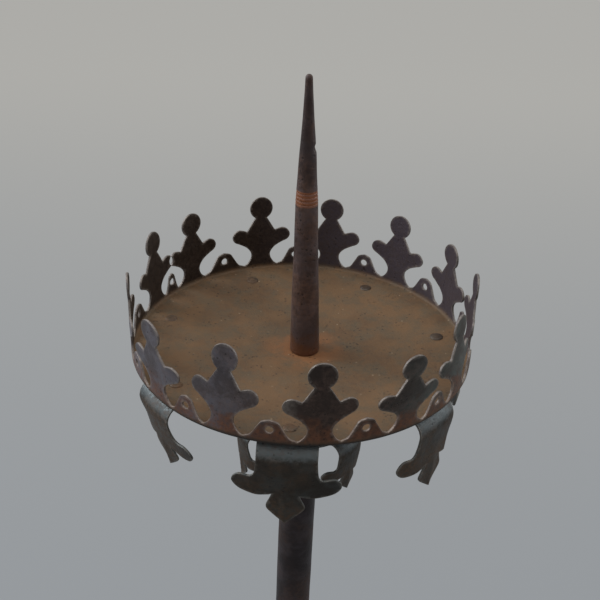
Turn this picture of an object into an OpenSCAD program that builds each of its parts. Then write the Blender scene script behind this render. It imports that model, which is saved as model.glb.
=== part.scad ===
// Wrought iron pricket candlestick with a cut-out crown and hanging leaves.
// Millimetres, +Z up. The origin is on the floor, on the stem's axis.
// Azimuths count from the front (-Y), positive towards +X.

/* [Stem] */
// Height of the stem's top shoulder, which carries the drip pan
stem_top = 608; // [560:1:660]
// Diameter of the round stem bar
stem_d = 21; // [19:0.5:24]
// Height of the stem's lower end above the floor
stem_end = 112; // [104:1:120]
// Height of the rounded drop at the stem's lower end
drop_h = 9; // [6:0.5:10]

/* [Spike] */
// Length of the spike above the pan
spike_len = 151; // [130:1:170]
// Diameter of the spike where it stands on the pan
spike_d = 16; // [14:0.5:18]
// Diameter of the spike's rounded tip
spike_tip_d = 3.4; // [2.6:0.1:5]
// Lean of the spike to the left, in degrees
spike_lean = 1.4; // [0:0.1:2]
// Diameter of the tenon below the spike
tenon_d = 10; // [8:0.5:11]
// Length of the tenon below the pan
tenon_len = 28; // [22:1:34]
// Diameter of the pin across the tenon
pin_d = 3; // [2.5:0.1:4]

/* [Drip pan] */
// Outer radius of the crown's upright sheet
pan_r = 90; // [86:0.5:94]
// Thickness of the pan's sheet
sheet_t = 1.1; // [0.9:0.05:1.4]
// Depth of the pan's flat middle below the slots
dish_depth = 6.2; // [5:0.1:7]
// Depth of the pan's edge below the slots
edge_depth = 2.4; // [2:0.1:3]
// Radius of the flat middle
dish_flat_r = 15; // [13:0.5:18]
// Inside radius of the bend from floor to crown
crown_bend_r = 1.6; // [1:0.1:2]
// How far each face of the sheet is drawn in at the top of that bend
draw = 0.15; // [0.1:0.01:0.2]
// Distance that the stem stands right of the pan's centre
pan_off = 2; // [0:0.1:3]

/* [Crown] */
// Number of figures round the crown
figure_count = 13; // [12:1:13]
// Azimuth of the first figure
figure_first = 6.7; // [0:0.1:15]
// Height of a figure above the slots
figure_h = 43; // [38:0.5:48]
// Span of a figure across its arms
figure_w = 35.4; // [32:0.2:37]
// Diameter of a figure's round head
head_d = 13.6; // [12:0.2:15]
// Width of the neck below the head
neck_w = 6.8; // [5.5:0.1:8]
// Width of the waist at a figure's foot
waist_w = 11.6; // [10:0.2:13]
// Distance from a figure's middle to the bottom of its slots
slot_at = 10.4; // [9.6:0.1:11]
// Height of a pierced lug above the slots
lug_h = 10.8; // [9.5:0.1:12]
// Diameter of the hole in a lug
lug_hole_d = 4.1; // [3:0.1:4.6]
// Height of that hole above the slots
lug_hole_z = 5.6; // [5:0.1:6]

/* [Rim leaves] */
// Azimuth of the first leaf
leaf_first = -2.7; // [-10:0.1:10]
// Height of a leaf, from the pan's edge to its point
leaf_len = 51; // [46:0.5:56]
// Span of a leaf across its arms
leaf_w = 53; // [48:0.5:56]
// Width of the strap that carries a leaf
strap_w = 29; // [26:0.5:31]
// Radius of the bend at a leaf's shoulder
leaf_bend_r = 8.5; // [7:0.5:10]
// Thickness of the leaves' sheet
leaf_t = 1.1; // [0.9:0.05:1.4]
// Radius on which the rivets hold the leaves to the pan
rivet_at = 75.5; // [74:0.5:77]
// Length of strap inside the rivet
strap_tail = 7; // [6:0.5:9]

/* [Lower leaves] */
// Azimuth of the first small leaf
low_first = 52; // [40:1:60]
// Distance from the slots down to the lower plate's top
low_drop = 49; // [46:0.5:54]
// Radius of the lower plate
low_plate_r = 31.5; // [30:0.5:33]
// Size of a small leaf, as a share of a rim leaf
low_scale = 0.65; // [0.6:0.01:0.7]
// Lean of the small leaves towards the stem, in degrees
low_lean = 6; // [2:1:10]
// How far the arms of the small leaves fold back, in degrees
low_fold = 12; // [6:1:20]
// Distance from the lower plate's edge in to the bend of its leaves
low_inset = 1.5; // [1:0.1:3]
// Radius on which rivets hold the small leaves
low_rivet_at = 25; // [24.5:0.1:25.5]
// Height of the collar under the lower plate
low_collar_h = 8; // [6:0.5:10]
// Wall of that collar
low_collar_t = 3.5; // [2.5:0.5:4.5]

/* [Rivets] */
// Diameter of the leaf rivets
rivet_d = 4; // [3:0.2:4.4]
// Diameter of a rivet's head
rivet_head_d = 7; // [6:0.2:7.6]
// Height of a rivet's head
rivet_head_h = 1.7; // [1.2:0.1:2.2]

/* [Tripod] */
// Width of a leg's bar
leg_w = 15; // [13:0.5:16]
// Thickness of a leg's bar
leg_t = 7; // [6:0.5:8]
// Radius of the upper bend, at the bar's middle
leg_neck_r = 42; // [36:1:46]
// Radius of the arch, at the bar's middle
leg_arch_r = 88; // [80:1:92]
// Length of a leg's straight tab on the stem
leg_tab = 62; // [56:1:70]
// Diameter of the flat round foot
foot_d = 34; // [30:1:40]
// Thickness of the foot
foot_t = 5; // [4:0.5:6]
// Height of the collar that clasps the tabs
leg_collar_h = 14; // [10:0.5:18]
// Wall of that collar
leg_collar_t = 4; // [3:0.5:5]
// Distance from the tabs' upper ends down to that collar
leg_collar_drop = 8; // [4:1:14]
// Diameter of the leg rivets
leg_rivet_d = 6; // [5:0.5:7]
// Depth of the leg rivets in the stem
leg_rivet_in = 5.5; // [4:0.5:6]

/* [Fits] */
// Clearance round each pin, rivet and tenon
pin_gap = 0.05; // [0.03:0.01:0.1]
// Clearance between the stem and what slides over it
ring_gap = 0.1; // [0.05:0.01:0.2]

/* [Hidden] */
$fn = 96;
// Leaves and legs are nodes of their own, so their numbers are fixed
leaf_count = 7;
low_count = 3;
leg_count = 3;

stem_r = stem_d / 2;
// Level of the pan's flat middle, and of the slots between the figures
pan_floor = stem_top + sheet_t;
slot_z = pan_floor + dish_depth;
// The pan's floor rises evenly from its flat middle to its edge
floor_edge_r = pan_r - sheet_t - crown_bend_r;
floor_rise = dish_depth - edge_depth;
floor_tilt = atan2(floor_rise, floor_edge_r - dish_flat_r);
function floor_at(r) = r < dish_flat_r ? -dish_depth : -dish_depth + (r - dish_flat_r) * tan(floor_tilt);

// Hand work: how far each figure turns from an even spacing, and how far it leans out, in degrees
figure_turn = [0, 0.5, -1, 0.5, -4.5, -3, -2.5, -3, -0.5, -7.5, -4, -0.5, -2, 0];
figure_lean = [0.5, 4, -3.5, 0.6, -3, 0.5, 1.5, 0.6, -1, 1.5, 1.2, 6, -4, 0];
// Hand work on the rim leaves: turn, lean towards the stem, and how far each arm folds back
leaf_turn = [0, 2.8, 0, -1, 1, 0, -0.5];
leaf_lean = [5, 5, 8, 6, 8, 6, 17];
leaf_fold_left = [0, 0, 8, 0, 6, 0, 0];
leaf_fold_right = [0, 28, 0, 6, 0, 10, 0];

function arc(r, from, to, steps, at = [0, 0]) =
    [for (k = [0 : steps]) at + r * [cos(from + (to - from) * k / steps), sin(from + (to - from) * k / steps)]];
// A smooth curve through a list of points, with n steps between neighbours
function ease(a, b, c, d, t) =
    0.5 * (2 * b + (c - a) * t + (2 * a - 5 * b + 4 * c - d) * t * t + (3 * b - a - 3 * c + d) * t * t * t);
function smooth(p, n = 3) = let (last = len(p) - 1) concat(
    [for (i = [0 : last - 1]) for (k = [0 : n - 1])
        ease(p[max(i - 1, 0)], p[i], p[i + 1], p[min(i + 2, last)], k / n)],
    [p[last]]);
// A half outline and its mirror image, as one closed outline
function both_sides(half) = concat(half, [for (i = [len(half) - 1 : -1 : 0]) [-half[i][0], half[i][1]]]);

function figure_az(i) = figure_first + 360 * i / figure_count + figure_turn[i % figure_count];
function next_az(i) = i + 1 < figure_count ? figure_az(i + 1) : figure_az(0) + 360;

// Depth to which figures and lugs run down into the bend's upright edge
root = 0.7;
// Half of a figure: slot, waist, rising arm, shoulder, neck and round head
arm_z = 0.43 * figure_h;
arm_x = figure_w / 2;
head_r = head_d / 2;
head_z = figure_h - head_r;
neck_x = neck_w / 2;
neck_turn = -acos(neck_x / head_r);
figure_half = concat(
    [[slot_at - 0.6, -root]],
    smooth([[slot_at - 0.6, -0.3], [slot_at - 2.7, 1.5], [waist_w / 2 + 0.2, 4.6], [waist_w / 2 + 0.2, 8],
            [waist_w / 2 + 2.8, arm_z - 7], [arm_x - 4.8, arm_z - 4.3], [arm_x - 1.3, arm_z - 2.4],
            [arm_x, arm_z + 0.4], [arm_x - 1.2, arm_z + 3.3], [arm_x - 3.9, arm_z + 4.7],
            [arm_x - 6.5, arm_z + 4.3], [arm_x - 8.9, arm_z + 3.4]]),
    smooth([[arm_x - 9.7, arm_z + 4.2], [neck_x + 2.2, arm_z + 8.2],
            [neck_x + 0.3, head_z + head_r * sin(neck_turn) - 0.6]], 3),
    arc(head_r, neck_turn, 90, 10, [0, head_z]));

// Half of a lug whose slots lie half_w from its middle
function lug_half(half_w) = let (x = half_w / 11) concat(
    [[half_w - 0.6, -root]],
    smooth([[half_w - 0.6, -0.3], [half_w - 2.6 * x, 1], [6.6 * x, 3.4], [4.9 * x, lug_h - 4],
            [3.3 * x, lug_h - 1.3], [0, lug_h]], 4));

// Half of a leaf, measured down from the pan's edge: strap, arm and pointed lobe
arm_tip = leaf_w / 2;
strap_x = strap_w / 2;
arm_low = 0.53 * leaf_len;
function leaf_half(s) = s * concat(
    [[strap_x, 30], [strap_x, -6]],
    smooth([[strap_x, -0.25 * leaf_len], [strap_x + 0.8, 5.6 - arm_low], [strap_x + 3, 2.8 - arm_low],
            [strap_x + 5.6, 2.9 - arm_low], [arm_tip - 3.4, 2.9 - arm_low], [arm_tip - 0.7, 0.6 - arm_low],
            [arm_tip - 0.3, -2.8 - arm_low], [arm_tip - 4, -6.4 - arm_low], [strap_x, -8.2 - arm_low],
            [strap_x - 6.4, -7.2 - arm_low]]),
    smooth([[strap_x - 7.9, -6.4 - arm_low], [strap_x - 6.9, 14.5 - leaf_len],
            [strap_x - 5.2, 9.6 - leaf_len], [strap_x - 7.2, 6.2 - leaf_len], [0, -leaf_len]], 4));

// A sheet outline in the XZ plane, made into a bar that runs towards the front
module stamp(outline, from, to)
    translate([0, -from, 0]) rotate([90, 0, 0]) linear_extrude(to - from) polygon(outline);

// A profile turned about Z over an angle that is centred on the front
module turn_front(profile, angle) rotate([0, 0, -90 - angle / 2]) rotate_extrude(angle = angle) polygon(profile);

// Moves work to the pan's own centre
module at_pan(z = slot_z) translate([-pan_off, 0, z]) children();

module rivet(d, head_d, head_h, grip) {
    ball_r = (head_d * head_d / 4 + head_h * head_h) / (2 * head_h);
    translate([0, 0, -grip]) cylinder(d = d, h = grip);
    intersection() {
        translate([0, 0, head_h - ball_r]) sphere(ball_r);
        cylinder(d = head_d, h = head_h);
    }
    translate([0, 0, -grip]) mirror([0, 0, 1]) intersection() {
        translate([0, 0, head_h - ball_r]) sphere(ball_r);
        cylinder(d = head_d, h = head_h);
    }
}

module stem() color("#3a302f") difference() {
    union() {
        translate([0, 0, stem_end]) cylinder(r = stem_r, h = stem_top - stem_end);
        translate([0, 0, stem_end]) intersection() {
            ball_r = (stem_r * stem_r + drop_h * drop_h) / (2 * drop_h);
            translate([0, 0, ball_r - drop_h]) sphere(ball_r);
            translate([0, 0, -drop_h]) cylinder(r = stem_r, h = drop_h + 0.01);
        }
    }
    translate([0, 0, stem_top - tenon_len - 2]) cylinder(d = tenon_d + 2 * pin_gap, h = tenon_len + 3);
    tenon_pin_hole();
    for (i = [0 : leg_count - 1]) leg_rivet_hole(i);
}

// Profile of the spike, as shares of its length and of its foot's radius
spike_profile = [[0, 1], [0.2, 0.9], [0.4, 0.78], [0.58, 0.71], [0.68, 0.58], [0.75, 0.51], [0.86, 0.35]];

module spike() color("#5a4038") {
    foot_r = spike_d / 2;
    tip_r = spike_tip_d / 2;
    difference() {
        translate([0, 0, pan_floor]) rotate([0, -spike_lean, 0]) rotate_extrude() polygon(concat(
            [[0, -0.4], [foot_r, -0.4]],
            smooth(concat([for (p = spike_profile) [p[1] * foot_r, p[0] * spike_len]],
                          [[tip_r, spike_len - tip_r]]), 3),
            arc(tip_r, 15, 90, 5, [0, spike_len - tip_r])));
        translate([-spike_d, -spike_d, pan_floor - 2]) cube([2 * spike_d, 2 * spike_d, 2]);
    }
    difference() {
        translate([0, 0, stem_top - tenon_len]) cylinder(d = tenon_d, h = tenon_len + sheet_t + 0.2);
        tenon_pin_hole();
    }
}

pin_z = stem_top - tenon_len / 2;

module tenon_pin_hole()
    translate([0, 0, pin_z]) rotate([90, 0, 0]) cylinder(d = pin_d + 2 * pin_gap, h = stem_d + 2, center = true);

module tenon_pin() color("#4a403c")
    translate([0, 0, pin_z]) rotate([90, 0, 0]) cylinder(d = pin_d, h = stem_d + 0.6, center = true);

// Section of the pan's sheet, from its middle out and up to the bottoms of the slots
module pan_shell() {
    bend_at = [floor_edge_r, -edge_depth + crown_bend_r];
    inner_bend = crown_bend_r + draw;
    outer_bend = crown_bend_r + sheet_t - draw;
    rotate_extrude($fn = 128) polygon(concat(
        [[0, -dish_depth], [dish_flat_r, -dish_depth]],
        arc(inner_bend, -90 + floor_tilt, 0, 5, bend_at),
        [[pan_r - sheet_t + draw, 0], [pan_r - draw, 0]],
        arc(outer_bend, 0, -90 + floor_tilt, 5, bend_at),
        [[dish_flat_r, -dish_depth - sheet_t], [0, -dish_depth - sheet_t]]));
}

// What a stamped outline leaves of the crown's sheet, which leans out by an angle above the slots
module crown_piece(outline, top, lean)
    intersection() {
        out = top * tan(lean);
        turn_front([[pan_r - sheet_t, -root], [pan_r, -root], [pan_r, 0], [pan_r + out, top],
                    [pan_r + out - sheet_t, top], [pan_r - sheet_t, 0]], 32);
        stamp(outline, pan_r - 18, pan_r + 6);
    }

module drip_pan() color("#6b5338") at_pan() {
    difference() {
        pan_shell();
        for (i = [0 : leaf_count - 1])
            at_rim_rivet(i) cylinder(d = rivet_d + 2 * pin_gap, h = 8, center = true, $fn = 32);
        translate([pan_off, 0, -dish_depth]) cylinder(d = tenon_d + 2 * pin_gap, h = 6, center = true);
    }
    for (i = [0 : figure_count - 1]) {
        rotate([0, 0, figure_az(i)]) crown_piece(both_sides(figure_half), figure_h + 1, figure_lean[i]);
        half_gap = (next_az(i) - figure_az(i)) / 2;
        rotate([0, 0, figure_az(i) + half_gap]) difference() {
            crown_piece(both_sides(lug_half(pan_r * half_gap * PI / 180 - slot_at)), lug_h + 1, 0.5);
            translate([0, -pan_r + 9, lug_hole_z]) rotate([90, 0, 0]) cylinder(d = lug_hole_d, h = 14, $fn = 32);
        }
    }
}

function leaf_az(i) = leaf_first + 360 * i / leaf_count + leaf_turn[i];

// Stands square on the pan's sloping floor, where a rivet holds leaf i
module at_rim_rivet(i)
    rotate([0, 0, leaf_az(i)]) translate([0, -rivet_at, floor_at(rivet_at)]) rotate([-floor_tilt, 0, 0]) children();

// A hanging leaf: a tail under its plate, a round shoulder and a sheet that leans in.
// reach is the radius where the shoulder's bend starts, top is the tail's upper face there.
module leaf(s, reach, tail_r, top, tilt, lean, fold_left, fold_right) {
    mid = [reach, top - leaf_bend_r * s - leaf_t];
    outer = leaf_bend_r * s + leaf_t;
    drop = 2 * leaf_len * s;
    down = [-sin(lean), -cos(lean)];
    low_out = mid + outer * [cos(lean), -sin(lean)];
    low_in = mid + leaf_bend_r * s * [cos(lean), -sin(lean)];
    profile = concat(
        [[tail_r, top - (reach - tail_r) * tan(tilt)]],
        arc(outer, 90 + tilt, -lean, 8, mid),
        [low_out + drop * down, low_in + drop * down],
        arc(leaf_bend_r * s, -lean, 90 + tilt, 8, mid),
        [[tail_r, top - (reach - tail_r) * tan(tilt) - leaf_t]]);
    crease = (strap_x - 3) * s;
    // Beyond either arm's tip
    far = leaf_w * s;
    module sheet(from, to) intersection() {
        turn_front(profile, 2 * asin(0.6 * far / reach));
        stamp(both_sides(leaf_half(s)), 0.4 * reach, 1.6 * reach);
        translate([from, -2 * reach, -3 * leaf_len]) cube([to - from, 2 * reach, 4 * leaf_len]);
    }
    // Both arms may be folded back about the strap's edge
    module folded(side, angle) {
        pivot = [side * crease, -reach - (leaf_bend_r + leaf_t / 2) * s, 0];
        translate(pivot) rotate([-lean, 0, 0]) rotate([0, 0, side * angle]) rotate([lean, 0, 0]) translate(-pivot)
            sheet(side > 0 ? crease - 0.3 : -far, side > 0 ? far : -crease + 0.3);
    }
    sheet(fold_left > 0 ? -crease : -far, fold_right > 0 ? crease : far);
    if (fold_left > 0) folded(-1, fold_left);
    if (fold_right > 0) folded(1, fold_right);
}

rim_reach = pan_r - leaf_bend_r - leaf_t;

module rim_leaf(i) color("#4b4238") at_pan() difference() {
    rotate([0, 0, leaf_az(i)])
        leaf(1, rim_reach, rivet_at - strap_tail, floor_at(rim_reach) - sheet_t / cos(floor_tilt), floor_tilt,
             leaf_lean[i], leaf_fold_left[i], leaf_fold_right[i]);
    at_rim_rivet(i) cylinder(d = rivet_d + 2 * pin_gap, h = 12, center = true, $fn = 32);
}

module rim_rivets() color("#54422f") at_pan()
    for (i = [0 : leaf_count - 1]) at_rim_rivet(i) rivet(rivet_d, rivet_head_d, rivet_head_h, sheet_t + leaf_t);

low_top = slot_z - low_drop;
low_under = low_top - sheet_t;
low_reach = low_plate_r - low_inset;

module lower_plate() color("#4a4038") difference() {
    translate([0, 0, low_under]) cylinder(r = low_plate_r, h = sheet_t);
    translate([0, 0, low_under - 1]) cylinder(r = stem_r + ring_gap, h = sheet_t + 2);
    for (i = [0 : low_count - 1]) at_low_rivet(i) cylinder(d = rivet_d + 2 * pin_gap, h = 8, center = true, $fn = 32);
}

module at_low_rivet(i) rotate([0, 0, low_first + 360 * i / low_count]) translate([0, -low_rivet_at, low_top]) children();

module lower_leaf(i) color("#4b4238") difference() {
    translate([0, 0, low_under]) rotate([0, 0, low_first + 360 * i / low_count])
        leaf(low_scale, low_reach, stem_r + low_collar_t + 1.5, 0, 0, low_lean, low_fold, low_fold);
    at_low_rivet(i) cylinder(d = rivet_d + 2 * pin_gap, h = 12, center = true, $fn = 32);
}

module lower_rivets() color("#54422f")
    for (i = [0 : low_count - 1]) at_low_rivet(i) rivet(rivet_d, rivet_head_d, rivet_head_h, sheet_t + leaf_t);

module lower_collar() color("#3a302f") difference() {
    translate([0, 0, low_under - low_collar_h]) cylinder(r = stem_r + low_collar_t, h = low_collar_h);
    translate([0, 0, low_under - low_collar_h - 1]) cylinder(r = stem_r + ring_gap, h = low_collar_h + 2);
}

// The tripod: each leg is a flat bar with a straight tab, a neck bend and an arch
leg_in = stem_r + leg_t / 2;
foot_at = leg_in + leg_neck_r + leg_arch_r;
tab_low = foot_t + leg_arch_r + leg_neck_r;
tab_top = tab_low + leg_tab;
leg_rivet_z = tab_low + 0.36 * leg_tab;

module quarter(r, x, y, flip) translate([x, y]) intersection() {
    difference() {
        circle(r + leg_t / 2);
        circle(r - leg_t / 2);
    }
    if (flip) translate([-r - leg_t, -r - leg_t]) square(r + leg_t);
    else square(r + leg_t);
}

module leg(i) color("#3a302f") rotate([0, 0, 360 * i / leg_count]) difference() {
    union() {
        rotate([90, 0, -90]) translate([0, 0, -leg_w / 2]) linear_extrude(leg_w) {
            translate([stem_r, tab_low]) square([leg_t, leg_tab]);
            quarter(leg_neck_r, leg_in + leg_neck_r, tab_low, true);
            quarter(leg_arch_r, leg_in + leg_neck_r, foot_t, false);
        }
        translate([0, -foot_at, 0]) cylinder(d = foot_d, h = foot_t);
    }
    translate([0, -stem_r - leg_t - 1, leg_rivet_z]) rotate([-90, 0, 0]) cylinder(d = leg_rivet_d + 2 * pin_gap, h = leg_t + 4);
    cylinder(r = stem_r + ring_gap, h = tab_top + 1);
}

module leg_rivet_hole(i) rotate([0, 0, 360 * i / leg_count])
    translate([0, -stem_r - 1, leg_rivet_z]) rotate([-90, 0, 0])
        cylinder(d = leg_rivet_d + 2 * pin_gap, h = leg_rivet_in + 1.5);

module leg_rivets() color("#4a403c")
    for (i = [0 : leg_count - 1]) rotate([0, 0, 360 * i / leg_count])
        translate([0, -stem_r - leg_t, leg_rivet_z]) rotate([90, 0, 0]) {
            translate([0, 0, -leg_t - leg_rivet_in]) cylinder(d = leg_rivet_d, h = leg_t + leg_rivet_in);
            intersection() {
                cylinder(d = 2 * leg_rivet_d, h = leg_rivet_d / 2);
                translate([0, 0, -leg_rivet_d * 0.75]) sphere(leg_rivet_d * 1.25);
            }
        }

module leg_collar() color("#3a302f") difference() {
    outer = norm([stem_r + leg_t, leg_w / 2]) + ring_gap;
    low = tab_top - leg_collar_drop - leg_collar_h;
    translate([0, 0, low]) cylinder(r = outer + leg_collar_t, h = leg_collar_h);
    translate([0, 0, low - 1]) cylinder(r = outer, h = leg_collar_h + 2);
}

stem();
spike();
tenon_pin();
drip_pan();
rim_leaf(0);  // rim_leaf_1
rim_leaf(1);  // rim_leaf_2
rim_leaf(2);  // rim_leaf_3
rim_leaf(3);  // rim_leaf_4
rim_leaf(4);  // rim_leaf_5
rim_leaf(5);  // rim_leaf_6
rim_leaf(6);  // rim_leaf_7
rim_rivets();
lower_plate();
lower_leaf(0);  // lower_leaf_1
lower_leaf(1);  // lower_leaf_2
lower_leaf(2);  // lower_leaf_3
lower_rivets();
lower_collar();
leg(0);  // leg_1
leg(1);  // leg_2
leg(2);  // leg_3
leg_rivets();
leg_collar();
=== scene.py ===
# %% [markdown]
# # A pricket candlestick in wrought iron
# A smith cut the drip pan and its crown of small figures from one sheet, hung sheet leaves from the rim and stood a
# forged spike on top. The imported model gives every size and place. This lesson dresses it: it cuts and bends the
# sheets again with the small faults of hand work, and gives each piece the surface of old waxed and rusted iron.

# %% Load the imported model
from math import atan2, cos, exp, pi, radians, sin, sqrt, tan

import bmesh
import bpy
import numpy as np
from mathutils import Matrix, Vector, noise
from mathutils.geometry import delaunay_2d_cdt


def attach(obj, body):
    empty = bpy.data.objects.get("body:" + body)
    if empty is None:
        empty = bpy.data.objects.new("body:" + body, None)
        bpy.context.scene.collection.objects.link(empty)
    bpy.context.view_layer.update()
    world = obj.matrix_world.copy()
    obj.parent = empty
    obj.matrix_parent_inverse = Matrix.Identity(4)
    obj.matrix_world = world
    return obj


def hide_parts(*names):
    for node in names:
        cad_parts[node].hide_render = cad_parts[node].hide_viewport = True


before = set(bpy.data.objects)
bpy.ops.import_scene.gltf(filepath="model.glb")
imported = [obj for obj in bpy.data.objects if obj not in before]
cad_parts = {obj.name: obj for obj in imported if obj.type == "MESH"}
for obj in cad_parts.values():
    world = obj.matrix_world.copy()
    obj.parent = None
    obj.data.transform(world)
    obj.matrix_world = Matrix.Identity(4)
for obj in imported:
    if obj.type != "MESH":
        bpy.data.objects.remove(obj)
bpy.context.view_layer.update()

MM = 0.001

# %% [markdown]
# ## Camera
# The camera of the photograph was close, 53 cm from the pan, and looked down at 32 degrees. It is built from three
# turns: the look at the pan's middle, a small turn that puts this middle below the centre of the picture, and a
# roll. A fitted camera like this is better than one placed by eye.

# %% Camera
PAN = Vector((-2.0, 0.0, 615.3))
FOCAL, PICTURE = 984.0, 600.0
LOOK_DOWN, AWAY, ROLL = radians(31.76), 529.1, radians(2.56)
MIDDLE_RIGHT, MIDDLE_BELOW = 2.8, 38.7


def photographer():
    """Where the camera stands, and its right, up and forward directions."""
    right = Vector((1, 0, 0))
    up = Vector((0, sin(LOOK_DOWN), cos(LOOK_DOWN)))
    ahead = Vector((0, cos(LOOK_DOWN), -sin(LOOK_DOWN)))
    place = (PAN - AWAY * ahead) * MM
    pitch = atan2(-MIDDLE_BELOW, FOCAL)
    yaw = atan2(MIDDLE_RIGHT, FOCAL / cos(pitch))
    right, ahead = right * cos(yaw) + ahead * sin(yaw), ahead * cos(yaw) - right * sin(yaw)
    up, ahead = up * cos(pitch) + ahead * sin(pitch), ahead * cos(pitch) - up * sin(pitch)
    right, up = right * cos(ROLL) + up * sin(ROLL), up * cos(ROLL) - right * sin(ROLL)
    return place, right, up, ahead


scene = bpy.context.scene
place, right, up, ahead = photographer()
camera = bpy.data.objects.new("Camera", bpy.data.cameras.new("Camera"))
scene.collection.objects.link(camera)
camera.data.sensor_width = 36
camera.data.lens = FOCAL / PICTURE * 36
camera.data.clip_start = 0.02
camera.matrix_world = Matrix.Translation(place) @ Matrix((right, up, -ahead)).transposed().to_4x4()
scene.camera = camera
scene.view_settings.view_transform = "Standard"
print("camera at", [round(v, 3) for v in place], "lens", round(camera.data.lens, 1))

# %% [markdown]
# ## Shader sums as Python
# A surface of old iron is a sum of many masks. Written node by node, such a tree is long and hard to read. One small
# class wraps a socket, so that `1 - mask * 0.5` adds its Math nodes, and one method makes every other node.

# %% Wires and the bench
class Wire:
    """A socket that takes part in sums."""

    def __init__(self, bench, socket):
        self.bench, self.socket = bench, socket

    def __add__(self, other):
        return self.bench.maths("ADD", self, other)

    def __radd__(self, other):
        return self.bench.maths("ADD", other, self)

    def __sub__(self, other):
        return self.bench.maths("SUBTRACT", self, other)

    def __rsub__(self, other):
        return self.bench.maths("SUBTRACT", other, self)

    def __mul__(self, other):
        return self.bench.maths("MULTIPLY", self, other)

    def __rmul__(self, other):
        return self.bench.maths("MULTIPLY", other, self)

    def __truediv__(self, other):
        return self.bench.maths("DIVIDE", self, other)

    def __pow__(self, other):
        return self.bench.maths("POWER", self, other)


class Bench:
    """Makes the nodes of one tree."""

    def __init__(self, tree):
        self.tree = tree
        tree.nodes.clear()

    def node(self, kind, settings=None, sockets=None, out=0):
        """One node: its settings first, then the values or wires of its sockets. A list joins several wires."""
        made = self.tree.nodes.new(kind)
        for key, value in (settings or {}).items():
            setattr(made, key, value)
        for key, value in (sockets or {}).items():
            for one in value if isinstance(value, list) else [value]:
                if isinstance(one, Wire):
                    self.tree.links.new(one.socket, made.inputs[key])
                else:
                    made.inputs[key].default_value = one
        return Wire(self, made.outputs[out]) if len(made.outputs) else made

    def maths(self, operation, a, b=0.0):
        return self.node("ShaderNodeMath", {"operation": operation}, {0: a, 1: b})

    def band(self, value, low, high):
        """0 at low, 1 at high, with soft ends."""
        soft = {"interpolation_type": "SMOOTHSTEP"}
        return self.node("ShaderNodeMapRange", soft, {0: value, 1: low, 2: high})

    def blend(self, share, a, b):
        return self.node("ShaderNodeMix", {"data_type": "RGBA"}, {0: share, 6: a, 7: b}, out=2)

    def clouds(self, where, scale, detail=4.0, rough=0.55):
        return self.node("ShaderNodeTexNoise", {}, {
            "Vector": where, "Scale": scale, "Detail": detail, "Roughness": rough})

    def moved(self, where, offset):
        return self.node("ShaderNodeVectorMath", {"operation": "ADD"}, {0: where, 1: (offset, -offset, offset)})

    def millimetres(self):
        """The piece's own coordinates, in millimetres."""
        coords = self.node("ShaderNodeTexCoord", out="Object")
        return self.node("ShaderNodeVectorMath", {"operation": "SCALE"}, {0: coords, "Scale": 1000.0})

    def parts(self, vector):
        """The three numbers of a vector, each as a wire."""
        made = self.tree.nodes.new("ShaderNodeSeparateXYZ")
        self.tree.links.new(vector.socket, made.inputs[0])
        return [Wire(self, out) for out in made.outputs]

    def facing(self):
        return self.parts(self.node("ShaderNodeNewGeometry", out="Normal"))


def paint(code):
    """A colour as written on a paint card, such as 7a5b3d, in the linear form that shaders use."""
    parts = [int(code[k:k + 2], 16) / 255 for k in (0, 2, 4)]
    return tuple(v / 12.92 if v <= 0.04045 else ((v + 0.055) / 1.055) ** 2.4 for v in parts) + (1.0,)


def new_material(name):
    material = bpy.data.materials.new(name)
    material.use_nodes = True
    return material, Bench(material.node_tree)


print("bench ready")

# %% [markdown]
# ## Old iron
# Waxed iron is almost black and has a soft grey shine. Rust is lighter, brown and dull. Both lie in patches over
# each other, with fine pits from the scale that once flaked off. Five masks at different scales make one such
# surface: broad patches, blotches, fine mottling, grain and pits. The cut edges of a sheet, which the attribute
# `edge` of each sheet marks, are painted lighter, partly as rubbed wear and partly as a painted highlight where
# light catches them.

# %% The patches that all iron shares
def iron_masks(b, where):
    """Masks from broad to fine, all between 0 and 1."""
    cells = b.node("ShaderNodeTexVoronoi", {"feature": "F1"}, {"Vector": where, "Scale": 0.42})
    broad = b.clouds(where, 0.028, 3.0)
    fine = b.clouds(b.moved(where, 57.0), 0.42, 6.0, 0.68)
    return {
        "broad": b.band(broad, 0.38, 0.62),
        "blotch": b.band(b.clouds(b.moved(where, 23.0), 0.085, 6.0, 0.62), 0.42, 0.62),
        "fine": b.band(fine, 0.36, 0.66),
        "grain": b.clouds(b.moved(where, 11.0), 1.9, 4.0, 0.7),
        "pits": b.band(cells, 0.34, 0.12) * b.band(b.clouds(b.moved(where, 91.0), 0.12, 4.0), 0.46, 0.62),
        "edge": b.node("ShaderNodeAttribute", {"attribute_name": "edge"}, out="Fac"),
    }


def iron_surface(b, masks, colour, dull, shine, wear_and_glint_colour, relief=0.00028, smooth=0.40, coarse=0.74):
    """Ends a material. dull says where rust takes the shine away; the colour after it is painted on the cut edges,
    partly as rubbed wear and partly as a painted highlight.
    """
    # Cut edges painted lighter: partly rubbed wear, partly a painted highlight where light catches them.
    wear_and_glint = masks["edge"] * (0.25 + masks["fine"] * 0.45)
    colour = b.blend(masks["pits"] * 0.62, colour, paint("1c1614"))
    colour = b.blend(masks["grain"] * 0.26, colour, b.blend(0.5, colour, paint("14100e")))
    colour = b.blend(wear_and_glint, colour, wear_and_glint_colour)
    height = masks["fine"] * 0.42 + masks["grain"] * 0.3 + masks["blotch"] * 0.34 - masks["pits"] * 0.8
    bump = b.node("ShaderNodeBump", {}, {"Strength": 0.55, "Distance": relief, "Height": height})
    rough = smooth + (coarse - smooth) * b.maths("MINIMUM", dull * 0.75 + masks["grain"] * 0.35, 1.0)
    metal = shine * (1 - dull * 0.85)
    shader = b.node("ShaderNodeBsdfPrincipled", {}, {
        "Base Color": colour, "Roughness": rough, "Metallic": metal, "Normal": bump})
    b.node("ShaderNodeOutputMaterial", {}, {"Surface": shader})


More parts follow.
